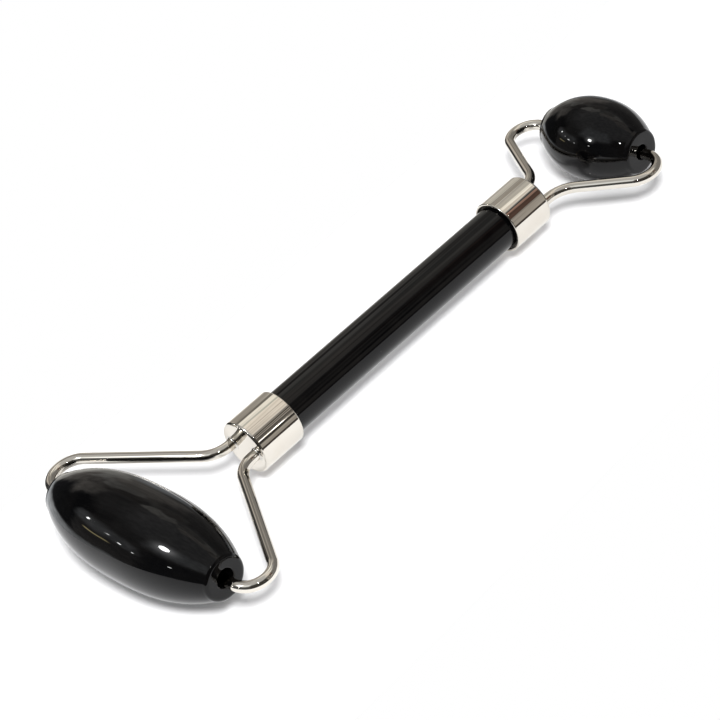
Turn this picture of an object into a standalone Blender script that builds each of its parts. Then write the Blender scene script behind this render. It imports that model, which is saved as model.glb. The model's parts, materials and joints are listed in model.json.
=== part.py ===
"""Double-ended stone face roller.

A long stone barrel and a short one each turn on a fork of two bent wires. The wires are soldered
into plated cups, and the cups are glued onto the ends of a round stone rod.

The object rests on its two stones. +X runs along the handle from the large stone to the small
one, +Y is along the stones' axes, and +Z is up. The origin is midway along the object, on the
surface that it rests on. Lengths are in metres.
"""

from collections import namedtuple
from math import atan2, cos, hypot, pi, radians, sin, tan

import bmesh
import bpy

MM = 0.001

OVERALL_LENGTH = 145.0 * MM      # over both stones

ROD_RADIUS = 4.55 * MM
ROD_CHAMFER = 0.4 * MM

FERRULE_RADIUS = 5.55 * MM
FERRULE_LENGTH = 9.8 * MM
FERRULE_WALL = 0.5 * MM
FERRULE_FACE_WALL = 0.8 * MM
FERRULE_EDGE = 0.5 * MM          # rounding between the end face and the side
LIP_BEAD = 0.2 * MM              # rounding of the open lip

WIRE_RADIUS = 1.1 * MM
WIRE_ROOT_OFFSET = 3.3 * MM      # each wire's hole in the end face, from the rod's axis
WIRE_TAIL = 2.6 * MM             # inside the ferrule, measured from the outer face
WIRE_SIDES_RESOLUTION = 4
FIXED_GAP = 0.1 * MM             # between pieces that are bonded together

SOLDER_HEIGHT = 1.2 * MM
SOLDER_RADIUS = 1.6 * MM
SOLDER_RIM = 0.15 * MM

ADHESIVE_FLOOR = 0.6 * MM        # between the wires' tails and the rod's end
ADHESIVE_RECESS = 0.7 * MM       # how far the glue stops short of the lip

BORE_CHAMFER = 0.25 * MM
STONE_EDGE = 0.8 * MM            # rounding around a stone's flat end

ROUND_STEPS = 40
BEND_STEPS = 7
HOOK_STEPS = 12
EDGE_STEPS = 3
BARREL_STEPS = 18
HOLE_SIDES = 24
HOLE_CUTTER_LENGTH = 3.2 * MM
MERGE_DISTANCE = 0.01 * MM

# Colour, roughness and metallic value of each finish.
FINISHES = {
    "black_stone": ((0.006, 0.006, 0.007), 0.06, 0.0),
    "bright_plate": ((0.78, 0.75, 0.70), 0.08, 1.0),
    "solder": ((0.55, 0.55, 0.53), 0.35, 1.0),
    "cured_glue": ((0.35, 0.32, 0.26), 0.4, 0.0),
}

# One bent wire. It leaves the ferrule straight for `stub`, bends out by `splay` on root_bend,
# runs straight, and hooks back on hook_bend until it points into the stone. The wires are bent
# by hand, so the two arms of a fork differ a little.
Arm = namedtuple("Arm", "stub root_bend splay hook_bend")

# One end of the roller. direction is the end's side along X. The stone's half profile falls
# from stone_radius to end_radius as the power `fullness` of the distance from its middle. The
# wires lie wire_drop below the middle of the wider bore, where `pin` is a wire's length, and
# `reach` is their distance from the ferrule's face.
End = namedtuple("End", "name direction stone_radius end_radius stone_length fullness "
                        "bore_radius wire_drop pin reach arms")

LARGE = End(name="large", direction=-1, stone_radius=9.27 * MM, end_radius=4.0 * MM,
            stone_length=45.2 * MM, fullness=2.56, bore_radius=1.8 * MM, wire_drop=0.6 * MM,
            pin=8.0 * MM, reach=25.65 * MM,
            arms={"left": Arm(0.8 * MM, 5.2 * MM, radians(62.1), 4.75 * MM),
                  "right": Arm(1.1 * MM, 5.55 * MM, radians(58.9), 3.95 * MM)})
SMALL = End(name="small", direction=1, stone_radius=8.54 * MM, end_radius=3.92 * MM,
            stone_length=23.4 * MM, fullness=2.25, bore_radius=1.5 * MM, wire_drop=0.3 * MM,
            pin=6.5 * MM, reach=21.25 * MM,
            arms={"left": Arm(1.6 * MM, 6.5 * MM, radians(58.7), 4.25 * MM),
                  "right": Arm(1.75 * MM, 6.3 * MM, radians(58.5), 4.55 * MM)})
SIDES = {"left": 1, "right": -1}


def clear_scene():
    for old in list(bpy.data.objects):
        bpy.data.objects.remove(old)


def make_collection(name):
    collection = bpy.data.collections.new(name)
    bpy.context.scene.collection.children.link(collection)
    return collection


def make_material(name):
    color, roughness, metallic = FINISHES[name]
    material = bpy.data.materials.new(name)
    material.use_nodes = True
    shader = material.node_tree.nodes["Principled BSDF"]
    shader.inputs["Base Color"].default_value = (*color, 1.0)
    shader.inputs["Roughness"].default_value = roughness
    shader.inputs["Metallic"].default_value = metallic
    return material


def arm_route(end, arm):
    """Centre line of an arm as (distance out from the ferrule's face, distance to the side)."""
    route = [(-WIRE_TAIL, WIRE_ROOT_OFFSET), (arm.stub, WIRE_ROOT_OFFSET)]
    for step in range(1, BEND_STEPS + 1):
        turn = arm.splay * step / BEND_STEPS
        route.append((arm.stub + arm.root_bend * sin(turn),
                      WIRE_ROOT_OFFSET + arm.root_bend * (1 - cos(turn))))
    centre_out = end.reach - arm.hook_bend
    out = centre_out - arm.hook_bend * sin(arm.splay)
    side = route[-1][1] + (out - route[-1][0]) * tan(arm.splay)
    route.append((out, side))
    centre_side = side - arm.hook_bend * cos(arm.splay)
    for step in range(1, HOOK_STEPS + 1):
        heading = arm.splay - (arm.splay + pi / 2) * step / HOOK_STEPS
        route.append((centre_out - arm.hook_bend * sin(heading),
                      centre_side + arm.hook_bend * cos(heading)))
    route.append((end.reach, end.stone_length / 2 - end.pin))
    return route


def stone_place(end):
    """Middle of a stone that touches the surface under it."""
    return (end.direction * (OVERALL_LENGTH / 2 - end.stone_radius), 0.0, end.stone_radius)


def wire_height(end):
    return end.stone_radius - end.wire_drop


def wire_to_wire():
    """Run and fall of the line between the two stones' wires, towards the small stone."""
    run = stone_place(SMALL)[0] - stone_place(LARGE)[0]
    return run, wire_height(LARGE) - wire_height(SMALL)


def face_distance():
    """Distance from the rod's middle to each ferrule's outer face."""
    return (hypot(*wire_to_wire()) - LARGE.reach - SMALL.reach) / 2


def add_handle_frame(collection):
    """Empty at the rod's middle, pitched because the two stones differ in size."""
    run, fall = wire_to_wire()
    along = (LARGE.reach + face_distance()) / hypot(run, fall)
    start = stone_place(LARGE)[0]
    frame = bpy.data.objects.new("handle_frame", None)
    frame.location = (start + along * run, 0.0, wire_height(LARGE) - along * fall)
    frame.rotation_euler = (0.0, atan2(fall, run), 0.0)
    collection.objects.link(frame)
    return frame


def add_turned(collection, name, profile, material, closed=False):
    """Solid of revolution about local Z. The profile holds (radius, height), outer side down."""
    mesh = bpy.data.meshes.new(name)
    piece = bpy.data.objects.new(name, mesh)
    bm = bmesh.new()
    verts = [bm.verts.new((radius, 0.0, height)) for radius, height in profile]
    for first, second in zip(verts, verts[1:]):
        bm.edges.new((first, second))
    if closed:
        bm.edges.new((verts[-1], verts[0]))
    bm.to_mesh(mesh)
    bm.free()
    mesh.materials.append(material)
    collection.objects.link(piece)
    screw = piece.modifiers.new("turn", "SCREW")
    screw.steps = ROUND_STEPS
    screw.render_steps = ROUND_STEPS
    screw.use_merge_vertices = True
    screw.merge_threshold = MERGE_DISTANCE
    screw.use_smooth_shade = True
    return piece


def edge_round(corner_radius, top, size, below=False):
    """Quarter circle around a turned edge, from the flat to the side, or back when below."""
    points = []
    for step in range(EDGE_STEPS + 1):
        turn = (pi / 2) * step / EDGE_STEPS
        points.append((corner_radius - size + size * sin(turn), size * cos(turn) - size))
    if below:
        return [(radius, top - height) for radius, height in reversed(points)]
    return [(radius, top + height) for radius, height in points]


def add_rod(collection, frame, material):
    end_inset = WIRE_TAIL + ADHESIVE_FLOOR + 2 * FIXED_GAP
    half = face_distance() - end_inset
    profile = [(0.0, half), (ROD_RADIUS - ROD_CHAMFER, half), (ROD_RADIUS, half - ROD_CHAMFER),
               (ROD_RADIUS, ROD_CHAMFER - half), (ROD_RADIUS - ROD_CHAMFER, -half), (0.0, -half)]
    rod = add_turned(collection, "handle_rod", profile, material)
    rod.rotation_euler = (0.0, pi / 2, 0.0)
    rod.parent = frame


def face_outward(piece, frame, end, inset=0.0, side=0.0):
    """Stand a turned piece on an end's axis with its local +Z pointing away from the rod."""
    piece.location = (end.direction * (face_distance() - inset), side, 0.0)
    piece.rotation_euler = (0.0, end.direction * pi / 2, 0.0)
    piece.parent = frame


def add_hole_cutter(collection, frame, end, side_name):
    """Cutter for one wire's hole through the ferrule's end face."""
    name = f"{end.name}_{side_name}_hole_cutter"
    mesh = bpy.data.meshes.new(name)
    bm = bmesh.new()
    bmesh.ops.create_cone(bm, cap_ends=True, segments=HOLE_SIDES, radius1=WIRE_RADIUS + FIXED_GAP,
                          radius2=WIRE_RADIUS + FIXED_GAP, depth=HOLE_CUTTER_LENGTH)
    bm.to_mesh(mesh)
    bm.free()
    cutter = bpy.data.objects.new(name, mesh)
    cutter.hide_render = True
    cutter.display_type = "WIRE"
    collection.objects.link(cutter)
    face_outward(cutter, frame, end, side=SIDES[side_name] * WIRE_ROOT_OFFSET)
    return cutter


def add_ferrule(collection, cutters, frame, end, material):
    """Drawn cup: flat end face outside, open lip over the rod."""
    inner = FERRULE_RADIUS - FERRULE_WALL
    profile = [(0.0, 0.0)]
    profile += edge_round(FERRULE_RADIUS, 0.0, FERRULE_EDGE)
    profile += edge_round(FERRULE_RADIUS, -FERRULE_LENGTH, LIP_BEAD, below=True)
    profile += [(inner, -FERRULE_LENGTH), (inner, -FERRULE_FACE_WALL), (0.0, -FERRULE_FACE_WALL)]
    ferrule = add_turned(collection, f"{end.name}_end_ferrule", profile, material)
    face_outward(ferrule, frame, end)
    for side_name in SIDES:
        cut = ferrule.modifiers.new(f"{side_name}_hole", "BOOLEAN")
        cut.object = add_hole_cutter(cutters, frame, end, side_name)


def add_adhesive(collection, frame, end, material):
    """Cured glue: a floor in front of the rod's end and a thin sleeve around the rod."""
    inner = ROD_RADIUS + FIXED_GAP
    outer = FERRULE_RADIUS - FERRULE_WALL - FIXED_GAP
    open_end = WIRE_TAIL + FIXED_GAP + ADHESIVE_RECESS - FERRULE_LENGTH
    profile = [(0.0, 0.0), (outer, 0.0), (outer, open_end), (inner, open_end),
               (inner, -ADHESIVE_FLOOR), (0.0, -ADHESIVE_FLOOR)]
    adhesive = add_turned(collection, f"{end.name}_end_adhesive", profile, material)
    face_outward(adhesive, frame, end, inset=WIRE_TAIL + FIXED_GAP)


def add_solder(collection, frame, end, side_name, material):
    """Collar that fillets one wire's tail to the inside of the ferrule's end face."""
    inner = WIRE_RADIUS + FIXED_GAP
    flare = SOLDER_RADIUS - inner - SOLDER_RIM
    drop = SOLDER_HEIGHT - SOLDER_RIM
    profile = [(inner, 0.0), (SOLDER_RADIUS, 0.0)]
    for step in range(EDGE_STEPS + 1):
        turn = (pi / 2) * step / EDGE_STEPS
        profile.append((SOLDER_RADIUS - flare * sin(turn),
                        -SOLDER_RIM - drop * (1 - cos(turn))))
    profile.append((inner, -SOLDER_HEIGHT))
    solder = add_turned(collection, f"{end.name}_fork_{side_name}_solder", profile, material,
                        closed=True)
    face_outward(solder, frame, end, inset=FERRULE_FACE_WALL + FIXED_GAP,
                 side=SIDES[side_name] * WIRE_ROOT_OFFSET)


def add_arm(collection, frame, end, side_name, material):
    """One bent wire of a fork, from its tail in the ferrule to its tip in the stone's bore."""
    route = arm_route(end, end.arms[side_name])
    curve = bpy.data.curves.new(f"{end.name}_fork_{side_name}_arm", "CURVE")
    curve.dimensions = "3D"
    curve.bevel_depth = WIRE_RADIUS
    curve.bevel_resolution = WIRE_SIDES_RESOLUTION
    curve.use_fill_caps = True
    spline = curve.splines.new("POLY")
    spline.points.add(len(route) - 1)
    for point, (out, side) in zip(spline.points, route):
        point.co = (end.direction * (face_distance() + out), SIDES[side_name] * side, 0.0, 1.0)
    curve.materials.append(material)
    arm = bpy.data.objects.new(curve.name, curve)
    arm.parent = frame
    collection.objects.link(arm)


def barrel_radius(end, along):
    """Radius of a stone at a distance along its axis from its middle."""
    share = abs(along) / (end.stone_length / 2)
    return end.stone_radius - (end.stone_radius - end.end_radius) * share ** end.fullness


def add_stone(collection, end, material):
    """Barrel with flat ends and a through bore, its origin on its own axis."""
    half = end.stone_length / 2
    shoulder = half - STONE_EDGE
    corner = barrel_radius(end, shoulder)
    profile = [(end.bore_radius, half - BORE_CHAMFER), (end.bore_radius + BORE_CHAMFER, half)]
    profile += edge_round(corner, half, STONE_EDGE)
    for step in range(1, BARREL_STEPS):
        along = shoulder * cos(pi * step / BARREL_STEPS)
        profile.append((barrel_radius(end, along), along))
    profile += edge_round(corner, -half, STONE_EDGE, below=True)
    profile += [(end.bore_radius + BORE_CHAMFER, -half), (end.bore_radius, BORE_CHAMFER - half)]
    stone = add_turned(collection, f"{end.name}_roller_stone", profile, material, closed=True)
    stone.location = stone_place(end)
    stone.rotation_euler = (-pi / 2, 0.0, 0.0)


def build():
    clear_scene()
    parts = make_collection("stone_face_roller")
    cutters = make_collection("cutters")
    stone = make_material("black_stone")
    plate = make_material("bright_plate")
    solder = make_material("solder")
    glue = make_material("cured_glue")
    frame = add_handle_frame(parts)
    add_rod(parts, frame, stone)
    for end in (LARGE, SMALL):
        add_ferrule(parts, cutters, frame, end, plate)
        add_adhesive(parts, frame, end, glue)
        add_stone(parts, end, stone)
        for side_name in SIDES:
            add_arm(parts, frame, end, side_name, plate)
            add_solder(parts, frame, end, side_name, solder)


build()
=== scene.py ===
"""Looks of the double-ended stone face roller.

Every piece is built in place, in metres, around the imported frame. Each vertex also holds `grain`,
its place on the piece as if that lay straight along X, so that polishing marks follow a wire
round its bends.
"""

import json
from collections import namedtuple
from math import atan2, cos, pi, radians, sin, tan

import bmesh
import bpy
from mathutils import Matrix, Vector, noise


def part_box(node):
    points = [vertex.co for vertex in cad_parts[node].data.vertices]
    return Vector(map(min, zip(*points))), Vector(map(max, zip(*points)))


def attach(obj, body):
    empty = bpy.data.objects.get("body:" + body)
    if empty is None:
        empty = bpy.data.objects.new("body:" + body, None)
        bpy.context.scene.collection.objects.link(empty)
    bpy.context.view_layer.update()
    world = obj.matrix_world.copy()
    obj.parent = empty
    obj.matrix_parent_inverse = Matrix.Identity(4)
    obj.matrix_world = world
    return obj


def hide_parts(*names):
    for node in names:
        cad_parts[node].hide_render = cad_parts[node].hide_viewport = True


MM = 0.001

# Camera.
CAMERA_PLACE = Vector((-201.20, -289.45, 262.43)) * MM
CAMERA_RIGHT = Vector((0.67072, -0.68990, -0.27233))
CAMERA_UP = Vector((0.59120, 0.27556, 0.75799))
CAMERA_LENS = 115.88             # mm, on a 36 mm sensor

# Sizes that the frame doesn't give, as in the CAD source.
ROD_CHAMFER = 0.4 * MM
FERRULE_LENGTH = 9.8 * MM
FERRULE_WALL = 0.5 * MM
FERRULE_FACE_WALL = 0.8 * MM
FERRULE_EDGE = 0.5 * MM
LIP_ROUND = 0.22 * MM
WIRE_RADIUS = 1.1 * MM
WIRE_ROOT_OFFSET = 3.3 * MM
WIRE_TAIL = 2.6 * MM
WIRE_TIP_ROUND = 0.35 * MM
HOLE_RADIUS = 1.2 * MM
SOLDER_HEIGHT = 1.2 * MM
SOLDER_RADIUS = 1.6 * MM
SOLDER_BEAD_RADIUS = 1.5 * MM    # outside, around the wire's root
SOLDER_BEAD_HEIGHT = 0.3 * MM
GLUE_FLOOR = 0.6 * MM
GLUE_RECESS = 0.5 * MM
GLUE_SAG = 0.25 * MM
FIXED_GAP = 0.1 * MM
SKIN_GAP = 0.01 * MM
BORE_ROUND = 0.3 * MM
STONE_EDGE = 0.9 * MM

# Unevenness of hand work.
GLUE_LUMP = 0.35 * MM
CHIP_DEPTH = 0.08 * MM
BEAD_LUMP = 0.3                  # part of the bead's width

ROUND_SIDES = 256
WIRE_SIDES = 56
HOLE_SIDES = 96
SAG_STEPS = 8
ROUND_STEPS = 10
BEND_STEPS = 40
BARREL_STEPS = 140
CREASE = radians(32)

Arm = namedtuple("Arm", "stub root_bend splay hook_bend")
End = namedtuple("End", "name direction end_radius fullness bore_radius pin reach arms")

LARGE = End(name="large", direction=-1, end_radius=4.0 * MM, fullness=2.56,
            bore_radius=1.8 * MM, pin=8.0 * MM, reach=25.65 * MM,
            arms={"left": Arm(0.8 * MM, 5.2 * MM, radians(62.1), 4.75 * MM),
                  "right": Arm(1.1 * MM, 5.55 * MM, radians(58.9), 3.95 * MM)})
SMALL = End(name="small", direction=1, end_radius=3.92 * MM, fullness=2.25,
            bore_radius=1.5 * MM, pin=6.5 * MM, reach=21.25 * MM,
            arms={"left": Arm(1.6 * MM, 6.5 * MM, radians(58.7), 4.25 * MM),
                  "right": Arm(1.75 * MM, 6.3 * MM, radians(58.5), 4.55 * MM)})
SIDES = {"left": 1, "right": -1}
HANDLE = "handle"


# Places from the frame -------------------------------------------------------------------

def mount_place(record, name):
    return Vector(next(m for m in record["mounts"] if m["name"] == name)["pos_m"])


def box_size(node):
    low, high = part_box(node)
    return high - low


class Handle:
    """The rod's axis and the two places where the ferrules' faces cross it."""

    def __init__(self, record):
        large = mount_place(record, "large_end_cup_face")
        small = mount_place(record, "small_end_cup_face")
        self.along = (small - large).normalized()
        self.across = Vector((0, 1, 0))
        self.up = self.along.cross(self.across)
        self.middle = (large + small) / 2
        self.half = (small - large).length / 2

    def place(self, direction=1, side=1, out=0.0, offset=0.0):
        """Frame whose X runs along the handle, or away from its middle at an end."""
        columns = Matrix((self.along * direction, self.across * side, self.up)).transposed()
        origin = self.middle + self.along * direction * out + self.across * side * offset
        return Matrix.Translation(origin) @ columns.to_4x4()


# Meshes ----------------------------------------------------------------------------------

def finish_mesh(mesh):
    """Outward faces, smooth shading that leaves flat faces true, and creases at real edges."""
    bm = bmesh.new()
    bm.from_mesh(mesh)
    bmesh.ops.recalc_face_normals(bm, faces=bm.faces)
    bm.to_mesh(mesh)
    bm.free()
    mesh.shade_smooth()
    mesh.set_sharp_from_angle(angle=CREASE)


def store_grain(mesh, grain):
    attribute = mesh.attributes.new("grain", "FLOAT_VECTOR", "POINT")
    attribute.data.foreach_set("vector", [value for point in grain for value in point])


def add_piece(name, mesh, material):
    mesh.materials.append(material)
    piece = bpy.data.objects.new(name, mesh)
    bpy.context.scene.collection.objects.link(piece)
    even = piece.modifiers.new("even_normals", "WEIGHTED_NORMAL")
    even.keep_sharp = True
    return piece


def loft(name, rings, closed=False):
    """Mesh through rings of equally many points, capped at both ends unless closed."""
    sides = len(rings[0])
    verts = [tuple(point) for ring in rings for point in ring]
    faces = []
    for ring in range(len(rings) if closed else len(rings) - 1):
        near, far = ring * sides, (ring + 1) % len(rings) * sides
        for side in range(sides):
            following = (side + 1) % sides
            faces.append((near + side, near + following, far + following, far + side))
    if not closed:
        faces.append(tuple(range(sides)))
        faces.append(tuple(range((len(rings) - 1) * sides, len(rings) * sides)))
    mesh = bpy.data.meshes.new(name)
    mesh.from_pydata(verts, [], faces)
    return mesh


def turned_mesh(name, profile, place, closed=False, sides=ROUND_SIDES, uneven=None):
    """Solid of revolution about place's X axis. The profile holds (radius, distance along X).

    `uneven(radius, along, turn)` gives a new radius and distance where a piece isn't true.
    """
    rings = []
    for radius, along in profile:
        ring = []
        for side in range(sides):
            turn = 2 * pi * side / sides
            reach, shift = uneven(radius, along, turn) if uneven else (radius, along)
            ring.append(place @ Vector((shift, reach * cos(turn), reach * sin(turn))))
        rings.append(ring)
    mesh = loft(name, rings, closed)
    finish_mesh(mesh)
    store_straight_grain(mesh, place)
    return mesh


def store_straight_grain(mesh, place):
    back = place.inverted()
    store_grain(mesh, [back @ vertex.co for vertex in mesh.vertices])


def arc(centre_radius, centre_along, size, start, sweep=pi / 2):
    """Arc of a profile, from the angle `start` measured from +X towards larger radii."""
    points = []
    for step in range(ROUND_STEPS + 1):
        turn = start + sweep * step / ROUND_STEPS
        points.append((centre_radius + size * sin(turn), centre_along + size * cos(turn)))
    return points


def swept_mesh(name, route, place, radius):
    """Round wire along (x, y) points in the fork's plane, its two ends slightly rounded."""
    points = [Vector((x, y, 0)) for x, y in route]
    travelled = [0.0]
    for first, second in zip(points, points[1:]):
        travelled.append(travelled[-1] + (second - first).length)
    tangents = [(points[min(i + 1, len(points) - 1)] - points[max(i - 1, 0)]).normalized()
                for i in range(len(points))]
    start_cap, end_cap = [], []
    for step in range(ROUND_STEPS + 1):
        turn = (pi / 2) * step / ROUND_STEPS
        back = WIRE_TIP_ROUND * (1 - cos(turn))
        reach = radius - WIRE_TIP_ROUND * (1 - sin(turn))
        start_cap.append((points[0] + tangents[0] * back, tangents[0], reach, back))
        end_cap.append((points[-1] - tangents[-1] * back, tangents[-1], reach,
                        travelled[-1] - back))
    middle = [(points[i], tangents[i], radius, travelled[i]) for i in range(1, len(points) - 1)]
    rings, grain = [], []
    for centre, tangent, reach, along in start_cap + middle + end_cap[::-1]:
        outward = Vector((-tangent.y, tangent.x, 0))
        ring = []
        for side in range(WIRE_SIDES):
            turn = 2 * pi * side / WIRE_SIDES
            ring.append(place @ (centre + outward * reach * cos(turn)
                                 + Vector((0, 0, reach * sin(turn)))))
            grain.append((along, reach * cos(turn), reach * sin(turn)))
        rings.append(ring)
    mesh = loft(name, rings)
    finish_mesh(mesh)
    store_grain(mesh, grain)
    return mesh


def with_holes(piece, cutters, place):
    """Cut the holes, remove their cutters, and shade the result afresh."""
    for cutter in cutters:
        cut = piece.modifiers.new("hole", "BOOLEAN")
        cut.object = cutter
    piece.modifiers.remove(piece.modifiers["even_normals"])
    graph = bpy.context.evaluated_depsgraph_get()
    mesh = bpy.data.meshes.new_from_object(piece.evaluated_get(graph), depsgraph=graph)
    name, material = piece.name, piece.data.materials[0]
    for used in [piece, *cutters]:
        bpy.data.objects.remove(used)
    mesh.name = name
    mesh.materials.clear()
    if "grain" in mesh.attributes:
        mesh.attributes.remove(mesh.attributes["grain"])
    finish_mesh(mesh)
    store_straight_grain(mesh, place)
    return add_piece(name, mesh, material)


# Materials -------------------------------------------------------------------------------
#
# Noise scales count lumps per metre of grain: 900 is a little over a millimetre. Where a scale
# is three numbers, the first is along the piece, and so its marks are drawn out that way.

class Shader:
    """A material's or the world's node tree, with short calls for the nodes used here."""

    def __init__(self, tree):
        self.tree = tree

    def node(self, kind, inputs=None, **settings):
        made = self.tree.nodes.new(kind)
        for key, value in settings.items():
            setattr(made, key, value)
        for key, value in (inputs or {}).items():
            self.feed(made.inputs[key], value)
        return made

    def feed(self, socket, value):
        if isinstance(value, bpy.types.NodeSocket):
            self.tree.links.new(value, socket)
        else:
            socket.default_value = value

    def math(self, operation, first, second=0.0, third=0.0):
        return self.node("ShaderNodeMath", {0: first, 1: second, 2: third},
                         operation=operation).outputs[0]

    def scaled(self, vector, factors):
        return self.node("ShaderNodeVectorMath", {0: vector, 1: factors},
                         operation="MULTIPLY").outputs[0]

    def noise(self, vector, scale, detail=3.0, roughness=0.5, distortion=0.0):
        return self.node("ShaderNodeTexNoise",
                         {"Vector": vector, "Scale": scale, "Detail": detail,
                          "Roughness": roughness, "Distortion": distortion}).outputs["Fac"]

    def fit(self, value, low, high, new_low=0.0, new_high=1.0, smooth=False):
        return self.node("ShaderNodeMapRange",
                         {"Value": value, "From Min": low, "From Max": high,
                          "To Min": new_low, "To Max": new_high},
                         interpolation_type="SMOOTHSTEP" if smooth else "LINEAR"
                         ).outputs["Result"]

    def mix(self, factor, first, second, blend="MIX"):
        made = self.node("ShaderNodeMix", data_type="RGBA", blend_type=blend)
        self.feed(made.inputs[0], factor)
        self.feed(made.inputs[6], first)
        self.feed(made.inputs[7], second)
        return made.outputs[2]

    def bump(self, height, distance, normal=None):
        inputs = {"Height": height, "Distance": distance, "Strength": 1.0}
        if normal is not None:
            inputs["Normal"] = normal
        return self.node("ShaderNodeBump", inputs).outputs["Normal"]


def new_material(name):
    material = bpy.data.materials.new(name)
    material.use_nodes = True
    shader = Shader(material.node_tree)
    grain = shader.node("ShaderNodeAttribute", attribute_name="grain").outputs["Vector"]
    return material, shader, material.node_tree.nodes["Principled BSDF"], grain


def plate_material():
    """Bright nickel plate: slightly warm, buffed, a little wavy, with fine rub marks."""
    material, shader, surface, grain = new_material("bright_plate")
    stain = shader.noise(grain, 180.0, 4.0)
    rub = shader.noise(shader.scaled(grain, (90.0, 1400.0, 1400.0)), 1.0, 3.0, 0.6)
    haze = shader.noise(grain, 420.0, 4.0, 0.6)
    color = shader.mix(shader.fit(stain, 0.35, 0.7), (0.665, 0.634, 0.575, 1),
                       (0.64, 0.60, 0.535, 1))
    shader.feed(surface.inputs["Base Color"], color)
    shader.feed(surface.inputs["Metallic"], 1.0)
    rough = shader.math("ADD", shader.fit(haze, 0.4, 0.8, 0.012, 0.035),
                        shader.fit(rub, 0.55, 0.8, 0.0, 0.025))
    shader.feed(surface.inputs["Roughness"], rough)
    wave = shader.noise(shader.scaled(grain, (130.0, 260.0, 260.0)), 1.0, 1.0)
    ripple = shader.noise(shader.scaled(grain, (380.0, 900.0, 900.0)), 1.0, 1.0)
    normal = shader.bump(wave, 0.02 * MM)
    normal = shader.bump(ripple, 0.003 * MM, normal=normal)
    normal = shader.bump(rub, 0.0006 * MM, normal=normal)
    shader.feed(surface.inputs["Normal"], normal)
    return material


def stone_material():
    """Polished black volcanic glass: faint clouding, smudges and a slightly uneven polish."""
    material, shader, surface, grain = new_material("black_stone")
    cloud = shader.noise(grain, 160.0, 5.0, 0.6, 0.8)
    smudge = shader.noise(grain, 240.0, 6.0, 0.65)
    black = shader.mix(shader.fit(cloud, 0.4, 0.75), (0.0008, 0.0008, 0.001, 1),
                       (0.0022, 0.002, 0.002, 1))
    speck = shader.node("ShaderNodeTexVoronoi", {"Vector": grain, "Scale": 260.0}).outputs
    lone = shader.node("ShaderNodeSeparateXYZ", {0: speck["Color"]}).outputs["X"]
    dust = shader.math("MULTIPLY", shader.fit(speck["Distance"], 0.02, 0.035, 1.0, 0.0),
                       shader.fit(lone, 0.80, 0.82))
    shader.feed(surface.inputs["Base Color"], shader.mix(dust, black, (0.16, 0.155, 0.15, 1)))
    polish = shader.fit(smudge, 0.45, 0.8, 0.025, 0.075)
    shader.feed(surface.inputs["Roughness"], shader.math("MULTIPLY_ADD", dust, 0.4, polish))
    shader.feed(surface.inputs["IOR"], 1.5)
    shader.feed(surface.inputs["Specular IOR Level"], 0.22)
    wave = shader.noise(grain, 110.0, 1.0)
    shader.feed(surface.inputs["Normal"], shader.bump(wave, 0.03 * MM))
    return material


def solder_material():
    """Solder drawn through the hole and buffed with the cup, slightly frosted."""
    material, shader, surface, grain = new_material("solder")
    frost = shader.noise(grain, 2600.0, 4.0, 0.6)
    shader.feed(surface.inputs["Base Color"],
                shader.mix(frost, (0.58, 0.56, 0.52, 1), (0.72, 0.69, 0.64, 1)))
    shader.feed(surface.inputs["Metallic"], 1.0)
    shader.feed(surface.inputs["Roughness"], shader.fit(frost, 0.3, 0.7, 0.12, 0.24))
    shader.feed(surface.inputs["Normal"], shader.bump(frost, 0.02 * MM))
    return material


def glue_material():
    """Cured glue at the cup's lip, dull, with trapped dust."""
    material, shader, surface, grain = new_material("cured_glue")
    lump = shader.noise(grain, 1500.0, 4.0, 0.6)
    dust = shader.fit(shader.noise(grain, 3200.0, 2.0), 0.66, 0.7)
    dark = shader.mix(lump, (0.02, 0.018, 0.014, 1), (0.06, 0.052, 0.04, 1))
    shader.feed(surface.inputs["Base Color"], shader.mix(dust, dark, (0.45, 0.42, 0.36, 1)))
    shader.feed(surface.inputs["Roughness"], shader.fit(lump, 0.3, 0.7, 0.25, 0.5))
    shader.feed(surface.inputs["Normal"], shader.bump(lump, 0.06 * MM))
    return material


# Pieces ----------------------------------------------------------------------------------

def settle(piece, body, slot, *nodes):
    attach(piece, body)
    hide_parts(*nodes)


def make_rod(handle, material):
    radius = box_size("handle_rod").y / 2
    half = handle.half - WIRE_TAIL - GLUE_FLOOR - 2 * FIXED_GAP
    profile = arc(radius - ROD_CHAMFER, half - ROD_CHAMFER, ROD_CHAMFER, 0.0)
    profile += arc(radius - ROD_CHAMFER, ROD_CHAMFER - half, ROD_CHAMFER, pi / 2)
    mesh = turned_mesh("polished_rod", profile, handle.place())
    settle(add_piece("polished_rod", mesh, material), HANDLE, "black_stone", "handle_rod")


def make_ferrule(handle, end, material):
    """Drawn cup with a flat mirror face, soft edges, a rounded lip and two wire holes."""
    radius = box_size(f"{end.name}_end_ferrule").y / 2
    inner = radius - FERRULE_WALL
    lip = -FERRULE_LENGTH + LIP_ROUND
    profile = arc(radius - FERRULE_EDGE, -FERRULE_EDGE, FERRULE_EDGE, 0.0)
    profile += arc(radius - LIP_ROUND, lip, LIP_ROUND, pi / 2)
    profile += arc(inner + LIP_ROUND, lip, LIP_ROUND, pi)
    profile += [(inner, -FERRULE_FACE_WALL)]
    place = handle.place(end.direction, out=handle.half)
    mesh = turned_mesh(f"{end.name}_end_cup", profile, place)
    cup = add_piece(f"{end.name}_end_cup", mesh, material)
    cutters = []
    for side in SIDES.values():
        hole = handle.place(end.direction, side, handle.half, WIRE_ROOT_OFFSET)
        reach = 2 * FERRULE_FACE_WALL
        cutter = turned_mesh("hole_cutter", [(HOLE_RADIUS, reach), (HOLE_RADIUS, -reach)], hole,
                             sides=HOLE_SIDES)
        cutters.append(add_piece("hole_cutter", cutter, material))
    cup = with_holes(cup, cutters, place)
    settle(cup, HANDLE, "bright_plate", f"{end.name}_end_ferrule")


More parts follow.
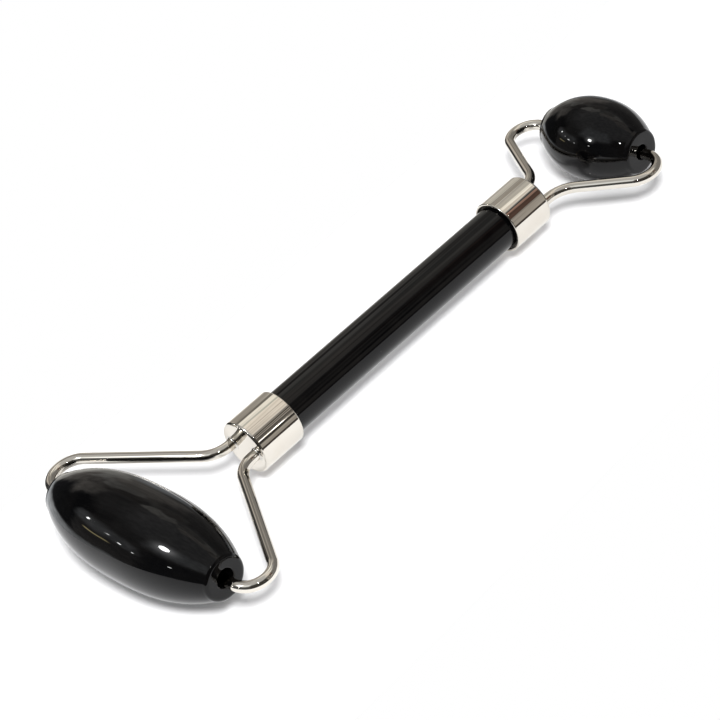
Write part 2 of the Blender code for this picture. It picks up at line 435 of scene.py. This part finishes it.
def make_glue(handle, end, material):
    """Glue around the rod's end, with a sagging, uneven surface inside the cup's lip."""
    inner = box_size("handle_rod").y / 2 + SKIN_GAP
    outer = box_size(f"{end.name}_end_ferrule").y / 2 - FERRULE_WALL - SKIN_GAP
    middle = (inner + outer) / 2
    core = 0.3 * inner
    surface = GLUE_RECESS - FERRULE_LENGTH
    floor = -WIRE_TAIL - FIXED_GAP
    profile = [(core, floor), (outer, floor), (outer, surface)]
    for step in range(1, SAG_STEPS):
        turn = pi * step / SAG_STEPS
        profile.append((middle + (outer - middle) * cos(turn), surface + GLUE_SAG * sin(turn)))
    profile += [(inner, surface), (inner, floor - GLUE_FLOOR), (core, floor - GLUE_FLOOR)]

    def uneven(radius, along, turn):
        if along > surface + 2 * GLUE_SAG:
            return radius, along
        lump = noise.noise(Vector((3 * cos(turn), 3 * sin(turn), radius / MM + end.direction)))
        return radius, along + GLUE_LUMP * max(lump, -0.2)

    place = handle.place(end.direction, out=handle.half)
    mesh = turned_mesh(f"{end.name}_end_glue", profile, place, uneven=uneven)
    settle(add_piece(f"{end.name}_end_glue", mesh, material), HANDLE, "cured_glue",
           f"{end.name}_end_adhesive")


def make_solder(handle, end, side_name, material):
    """Solder collar inside the cup, drawn through the hole into a small bead outside."""
    bore = WIRE_RADIUS + SKIN_GAP
    hole = HOLE_RADIUS - SKIN_GAP
    face = SKIN_GAP
    inside = -FERRULE_FACE_WALL - SKIN_GAP
    profile = [(bore, SOLDER_BEAD_HEIGHT)]
    spread, rise = SOLDER_BEAD_RADIUS - bore, SOLDER_BEAD_HEIGHT - face
    for step in range(1, ROUND_STEPS + 1):
        turn = (pi / 2) * step / ROUND_STEPS
        profile.append((bore + spread * (1 - cos(turn)), face + rise * (1 - sin(turn))))
    profile += [(hole, face), (hole, inside), (SOLDER_RADIUS, inside)]
    spread, drop = SOLDER_RADIUS - bore, SOLDER_HEIGHT
    for step in range(1, ROUND_STEPS + 1):
        turn = (pi / 2) * step / ROUND_STEPS
        profile.append((SOLDER_RADIUS - spread * sin(turn), inside - drop * (1 - cos(turn))))
    place = handle.place(end.direction, SIDES[side_name], handle.half, WIRE_ROOT_OFFSET)
    name = f"{end.name}_fork_{side_name}_bead"

    def uneven(radius, along, turn):
        if along < face or radius <= bore:
            return radius, along
        lump = noise.noise(Vector((2 * cos(turn), 2 * sin(turn), SIDES[side_name] * 5.0)))
        return radius + (radius - bore) * BEAD_LUMP * lump, along

    mesh = turned_mesh(name, profile, place, closed=True, sides=HOLE_SIDES, uneven=uneven)
    settle(add_piece(name, mesh, material), HANDLE, "solder",
           f"{end.name}_fork_{side_name}_solder")


def arc_route(centre, size, start, sweep):
    """Points of an arc in a fork's plane, from the angle `start`, which is measured from +X."""
    turns = [start + sweep * step / BEND_STEPS for step in range(1, BEND_STEPS + 1)]
    return [(centre[0] + size * cos(turn), centre[1] + size * sin(turn)) for turn in turns]


def arm_route(end, arm, stone_length):
    """Centre line of an arm: distance out from the ferrule's face, and to the side."""
    route = [(-WIRE_TAIL, WIRE_ROOT_OFFSET), (arm.stub, WIRE_ROOT_OFFSET)]
    route += arc_route((arm.stub, WIRE_ROOT_OFFSET + arm.root_bend), arm.root_bend, -pi / 2,
                       arm.splay)
    centre_out = end.reach - arm.hook_bend
    out = centre_out - arm.hook_bend * sin(arm.splay)
    side = route[-1][1] + (out - route[-1][0]) * tan(arm.splay)
    route.append((out, side))
    centre = (centre_out, side - arm.hook_bend * cos(arm.splay))
    route += arc_route(centre, arm.hook_bend, arm.splay + pi / 2, -arm.splay - pi / 2)
    route.append((end.reach, stone_length / 2 - end.pin))
    return route


def make_arm(handle, end, side_name, material):
    stone_length = box_size(f"{end.name}_roller_stone").y
    place = handle.place(end.direction, SIDES[side_name], handle.half)
    name = f"{end.name}_fork_{side_name}_wire"
    route = arm_route(end, end.arms[side_name], stone_length)
    mesh = swept_mesh(name, route, place, WIRE_RADIUS)
    settle(add_piece(name, mesh, material), HANDLE, "bright_plate",
           f"{end.name}_fork_{side_name}_arm")


def make_stone(joints, end, material):
    """Barrel with flat ends, soft edges and a drilled hole whose rim is slightly chipped."""
    size = box_size(f"{end.name}_roller_stone")
    radius, half = size.z / 2, size.y / 2
    joint = next(j for j in joints if j["child"] == f"{end.name}_roller")

    def barrel(along):
        return radius - (radius - end.end_radius) * (abs(along) / half) ** end.fullness

    shoulder = half - STONE_EDGE
    edge = barrel(shoulder) - STONE_EDGE
    lean = atan2((radius - end.end_radius) * end.fullness, half)
    bore = end.bore_radius
    profile = arc(bore + BORE_ROUND, half - BORE_ROUND, BORE_ROUND, -pi / 2)
    profile += arc(edge, shoulder, STONE_EDGE, 0.0, pi / 2 - lean)
    profile += [(barrel(along), along) for along in
                (shoulder * cos(pi * s / BARREL_STEPS) for s in range(1, BARREL_STEPS))]
    profile += arc(edge, -shoulder, STONE_EDGE, pi / 2 + lean, pi / 2 - lean)
    profile += arc(bore + BORE_ROUND, BORE_ROUND - half, BORE_ROUND, pi)

    def uneven(reach, along, turn):
        if reach > bore + 2 * BORE_ROUND:
            return reach, along
        chip = noise.noise(Vector((4 * cos(turn), 4 * sin(turn), along / MM)))
        return reach + CHIP_DEPTH * max(chip, 0.0), along

    place = Matrix.Translation(Vector(joint["pos_m"])) @ Matrix.Rotation(pi / 2, 4, "Z")
    name = f"{end.name}_stone_barrel"
    mesh = turned_mesh(name, profile, place, closed=True, uneven=uneven)
    settle(add_piece(name, mesh, material), f"{end.name}_roller", "black_stone",
           f"{end.name}_roller_stone")


def make_object(record, joints):
    handle = Handle(record)
    plate = plate_material()
    stone = stone_material()
    solder = solder_material()
    glue = glue_material()
    make_rod(handle, stone)
    for end in (LARGE, SMALL):
        make_ferrule(handle, end, plate)
        make_glue(handle, end, glue)
        make_stone(joints, end, stone)
        for side_name in SIDES:
            make_arm(handle, end, side_name, plate)
            make_solder(handle, end, side_name, solder)


# Studio ----------------------------------------------------------------------------------

def direction(azimuth, elevation):
    """Unit vector. Azimuth 0 is +Y and 90 is +X."""
    a, e = radians(azimuth), radians(elevation)
    return Vector((sin(a) * cos(e), cos(a) * cos(e), sin(e)))


def make_camera():
    data = bpy.data.cameras.new("camera")
    data.lens = CAMERA_LENS
    data.sensor_width = 36.0
    data.clip_start = 10 * MM
    data.clip_end = 10.0
    camera = bpy.data.objects.new("camera", data)
    back = CAMERA_RIGHT.cross(CAMERA_UP)
    turned = Matrix((CAMERA_RIGHT, CAMERA_UP, back)).transposed().to_4x4()
    camera.matrix_world = Matrix.Translation(CAMERA_PLACE) @ turned
    bpy.context.scene.collection.objects.link(camera)
    bpy.context.scene.camera = camera


def make_lamp(name, place, size, radiance):
    """Round white lamp of an even brightness, facing the object."""
    data = bpy.data.lights.new(name, "AREA")
    data.shape = "DISK"
    data.size = size
    data.energy = radiance * pi * pi * (size / 2) ** 2
    lamp = bpy.data.objects.new(name, data)
    lamp.location = place
    lamp.rotation_mode = "QUATERNION"
    lamp.rotation_quaternion = (-place).to_track_quat("-Z", "Y")
    bpy.context.scene.collection.objects.link(lamp)
    return lamp


def make_floor():
    mesh = bpy.data.meshes.new("floor")
    corners = [(x, y, 0) for x, y in ((-BOARD_REACH, BOARD_FRONT), (BOARD_REACH, BOARD_FRONT),
                                      (BOARD_REACH, BOARD_BACK), (-BOARD_REACH, BOARD_BACK))]
    mesh.from_pydata(corners, [], [(0, 1, 2, 3)])
    floor = bpy.data.objects.new("floor", mesh)
    bpy.context.scene.collection.objects.link(floor)
    material = bpy.data.materials.new("pale_floor")
    material.use_nodes = True
    shader = Shader(material.node_tree)
    surface = material.node_tree.nodes["Principled BSDF"]
    place = shader.node("ShaderNodeTexCoord").outputs["Object"]
    mottle = shader.noise(place, 30.0, 4.0)
    shader.feed(surface.inputs["Base Color"], shader.mix(mottle, *BOARD_COLORS))
    shader.feed(surface.inputs["Roughness"], 0.55)
    shader.feed(surface.inputs["Specular IOR Level"], 0.25)
    mesh.materials.append(material)


# What the polished surfaces mirror: patches of the room by azimuth and elevation in degrees,
# later ones over earlier ones. Azimuth 0 is +Y and 90 is +X. Each patch is its azimuths, its
# elevations, the softness of its edges in each, its tint and its brightness. Noise sways the
# ROOM's patches and clutters them, so that their edges aren't straight.
WARM = (1.0, 0.93, 0.85)
CREAM = (1.0, 0.97, 0.90)
COOL = (0.95, 0.98, 1.0)
RED_BROWN = (1.0, 0.62, 0.50)
WHITE = (1.0, 1.0, 1.0)
AMBER = (1.0, 0.85, 0.45)
ROOM = [
    # wall and shelves past the handle
    ((14, 46), (-30, 34), (8, 5), WARM, 0.42),
    ((30.5, 40), (-30, 30), (3, 4), CREAM, 0.70),
    ((38, 60), (6, 26), (8, 8), WARM, 0.55),
    ((4, 22), (17, 34), (6, 6), WARM, 0.68),
    ((26, 35), (30, 40.5), (4, 3), WARM, 0.24),
    ((40, 64), (34, 52), (6, 6), CREAM, 0.45),
    # the wide lit panel overhead, with a dim part at its lower right
    ((31, 54), (41.5, 57), (6, 2.5), CREAM, 1.20),
    ((44, 60), (36, 48), (4, 4), WARM, 0.40),
    ((50, 116), (57, 69), (6, 5), WARM, 1.08),
    ((84, 120), (51, 60), (4, 4), CREAM, 1.15),
    ((62, 88), (50, 60.5), (5, 3), CREAM, 0.64),
    ((50, 60), (57.5, 62), (2, 2), (0.97, 1.0, 0.92), 0.70),
    ((102, 107), (60, 69), (1.5, 3), WARM, 0.60),
    ((107, 142), (52, 68), (2, 5), WARM, 0.92),
    # dark shelves to the right
    ((117, 165), (26, 49.5), (2, 2), WARM, 0.22),
    ((122, 129), (42, 49), (2, 2), WHITE, 0.08),
    ((129, 134), (40, 48.5), (2, 2), RED_BROWN, 0.42),
    ((134, 144), (24, 42), (2, 2), RED_BROWN, 0.10),
    ((140, 165), (45.5, 50), (2, 2), WARM, 0.32),
    ((140, 165), (42.8, 45.3), (2, 0.8), WARM, 0.02),
    ((144, 165), (40.4, 42.6), (2, 0.8), WARM, 0.56),
    ((144, 165), (37.8, 40.2), (2, 0.8), WARM, 0.02),
    ((144, 165), (33.6, 37.4), (2, 0.8), WARM, 0.42),
    ((144, 165), (31.2, 33.4), (2, 0.8), WARM, 0.02),
    ((144, 165), (26.5, 30), (2, 1), WARM, 0.14),
    ((140, 165), (-30, 25), (2, 2), WARM, 0.46),
    ((140, 165), (20.5, 24.5), (2, 1), WARM, 0.34),
    ((146, 162), (11, 20), (2, 1), WARM, 0.07),
    ((146, 162), (15.8, 18), (2, 0.8), WARM, 0.02),
    ((140, 165), (-30, -2.5), (1.5, 1.5), (1.0, 0.85, 0.78), 0.08),
    # the dark side behind the camera
    ((165, 181), (-40, 46), (6, 6), WARM, 0.06),
    ((-181, -122), (-40, 46), (6, 6), WARM, 0.06),
    # dark corner on the left
    ((-28, 14), (-40, 14), (8, 8), COOL, 0.05),
    ((-28, 2), (6, 36), (8, 8), COOL, 0.05),
    ((-122, -60), (-40, 34), (8, 8), COOL, 0.10),
    # the ground past the board
    ((-75, 14), (-70, -10), (8, 6), COOL, 1.30),
    ((14, 31), (-70, -6), (6, 6), CREAM, 1.0),
    ((42, 120), (-70, -2), (8, 4), COOL, 0.50),
    # window over the large stone, and the ceiling lamps' soft light
    ((-124, -52), (39, 64), (16, 10), COOL, 1.05),
    ((-58, -24), (15, 27), (10, 6), COOL, 0.8),
]
# Small bright things, which nothing sways or clutters.
SPARKS = [
    # an amber light, and a row of ceiling lamps
    ((-45, -36), (8.6, 10.2), (3, 1), AMBER, 5.0),
    ((-32.3, -30.7), (21.5, 23.5), (1, 1), WHITE, 60.0),
    ((-42, -41), (19.5, 20.5), (1, 1), WHITE, 24.0),
    ((-49, -47.2), (17, 18), (1, 1), WHITE, 50.0),
    ((-57.2, -56), (15.5, 16.5), (1, 1), WHITE, 40.0),
    ((-83, -80.5), (21.5, 22.5), (1, 1), WHITE, 50.0),
    # something bright among the shelves
    ((153.5, 154.4), (21.0, 22.9), (0.4, 0.8), CREAM, 4.0),
    ((153.65, 153.95), (21.2, 23.1), (0.2, 0.8), WHITE, 10.0),
]
WALL_COLOR = (0.24, 0.23, 0.22, 1)
CEILING_COLOR = (0.60, 0.595, 0.59, 1)
CEILING_START = (38, 60)          # elevations where the wall gives way to the ceiling
DAYLIGHT_COLOR = (0.86, 0.86, 0.87, 1)
BACKDROP_COLOR = (1.0, 1.0, 1.0, 1)
SWAY = 4.0                        # degrees of azimuth
RISE = 0.9                        # degrees of elevation
CLUTTER = (0.75, 1.25)
NOISE_SPREAD = (0.3, 0.7)         # most of a noise texture's values
GLOW_FALLOFF = 3.0

# The pale board that the object lies on. It ends close in front and behind, as the photo's
# reflections show.
BOARD_REACH = 0.35
BOARD_FRONT = -57 * MM
BOARD_BACK = 42 * MM
BOARD_COLORS = ((0.86, 0.86, 0.865, 1), (0.88, 0.88, 0.885, 1))


def add_patches(shader, color, patches, azimuth, elevation):
    """Lay soft-edged patches of a list such as ROOM over the colour."""
    for azimuths, elevations, softness, tint, strength in patches:
        mask = 1.0
        for angle, (low, high), soft in zip((azimuth, elevation), (azimuths, elevations),
                                            softness):
            middle, half = (low + high) / 2, (high - low) / 2
            off = shader.math("ABSOLUTE", shader.math("SUBTRACT", angle, middle))
            edge = shader.fit(off, half - soft / 2, half + soft / 2, 1.0, 0.0, smooth=True)
            mask = shader.math("MULTIPLY", mask, edge)
        color = shader.mix(mask, color, (*(strength * part for part in tint), 1))
    return color


def make_room():
    """World: a plain backdrop, even daylight on dull surfaces, and a room to polished ones."""
    world = bpy.data.worlds.new("room")
    world.use_nodes = True
    bpy.context.scene.world = world
    shader = Shader(world.node_tree)
    background = world.node_tree.nodes["Background"]
    ray = shader.node("ShaderNodeTexCoord").outputs["Generated"]
    split = shader.node("ShaderNodeSeparateXYZ", {0: ray}).outputs
    azimuth = shader.math("DEGREES", shader.math("ARCTAN2", split["X"], split["Y"]))
    elevation = shader.math("DEGREES", shader.math("ARCSINE", split["Z"]))
    sway = shader.fit(shader.noise(ray, 4.0), *NOISE_SPREAD, -SWAY, SWAY)
    rise = shader.fit(shader.noise(ray, 11.0), *NOISE_SPREAD, -RISE, RISE)
    rough_place = (shader.math("ADD", azimuth, sway), shader.math("ADD", elevation, rise))
    above = shader.fit(elevation, *CEILING_START, smooth=True)
    color = shader.mix(above, WALL_COLOR, CEILING_COLOR)
    color = add_patches(shader, color, ROOM, *rough_place)
    clutter = shader.fit(shader.noise(ray, 13.0, 4.0), *NOISE_SPREAD, *CLUTTER)
    color = shader.mix(1.0, color, clutter, "MULTIPLY")
    color = add_patches(shader, color, SPARKS, azimuth, elevation)
    path = shader.node("ShaderNodeLightPath").outputs
    color = shader.mix(path["Is Diffuse Ray"], color, DAYLIGHT_COLOR)
    color = shader.mix(path["Is Camera Ray"], color, BACKDROP_COLOR)
    shader.feed(background.inputs["Color"], color)


def make_glow_card(place, size, radiance):
    """Softbox seen only in reflections, facing the object and brightest in its middle."""
    mesh = bpy.data.meshes.new("glow_card")
    bm = bmesh.new()
    bmesh.ops.create_grid(bm, x_segments=1, y_segments=1, size=size / 2)
    bm.to_mesh(mesh)
    bm.free()
    card = bpy.data.objects.new("glow_card", mesh)
    card.location = place
    card.rotation_mode = "QUATERNION"
    card.rotation_quaternion = (-place).to_track_quat("Z", "Y")
    bpy.context.scene.collection.objects.link(card)
    card.visible_camera = False
    card.visible_diffuse = False
    card.visible_shadow = False
    material = bpy.data.materials.new("glow")
    material.use_nodes = True
    tree = material.node_tree
    tree.nodes.clear()
    shader = Shader(tree)
    at = shader.node("ShaderNodeTexCoord").outputs["Object"]
    away = shader.node("ShaderNodeVectorMath", {0: at}, operation="LENGTH").outputs["Value"]
    fade = shader.math("POWER", shader.fit(away, 0.0, size / 2, 1.0, 0.0), GLOW_FALLOFF)
    strength = shader.math("MULTIPLY", fade, radiance)
    light = shader.node("ShaderNodeEmission", {"Strength": strength})
    clear = shader.node("ShaderNodeBsdfTransparent")
    both = shader.node("ShaderNodeAddShader", {0: light.outputs[0], 1: clear.outputs[0]})
    shader.node("ShaderNodeOutputMaterial", {"Surface": both.outputs[0]})
    mesh.materials.append(material)


def make_studio():
    make_camera()
    make_floor()
    make_room()
    # overhead flash beside the camera: it casts the shadows and isn't mirrored
    flash = make_lamp("flash", direction(-150.7, 50.1) * 0.74, size=0.17, radiance=82.0)
    flash.visible_glossy = False
    # the flash as polished surfaces mirror it, a small point
    glint = make_lamp("glint", direction(-150.1, 46.0) * 0.4, size=0.014, radiance=250.0)
    glint.visible_diffuse = False
    # lamp over the large stone, in reflections only, with its soft glow
    lamp = make_lamp("lamp", Vector((-0.184, 0.034, 0.192)), size=0.032, radiance=90.0)
    lamp.visible_diffuse = False
    make_glow_card(Vector((-0.20, 0.036, 0.21)), size=0.16, radiance=9.0)
    bpy.context.scene.view_settings.view_transform = "Standard"


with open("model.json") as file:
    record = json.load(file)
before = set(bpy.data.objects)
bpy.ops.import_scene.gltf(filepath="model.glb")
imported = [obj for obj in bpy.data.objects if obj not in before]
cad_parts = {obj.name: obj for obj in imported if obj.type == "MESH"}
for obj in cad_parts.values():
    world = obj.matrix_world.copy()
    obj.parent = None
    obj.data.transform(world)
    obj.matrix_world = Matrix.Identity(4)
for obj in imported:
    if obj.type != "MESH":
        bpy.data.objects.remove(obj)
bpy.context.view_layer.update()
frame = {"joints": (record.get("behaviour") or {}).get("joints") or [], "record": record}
make_object(frame["record"], frame["joints"])
make_studio()
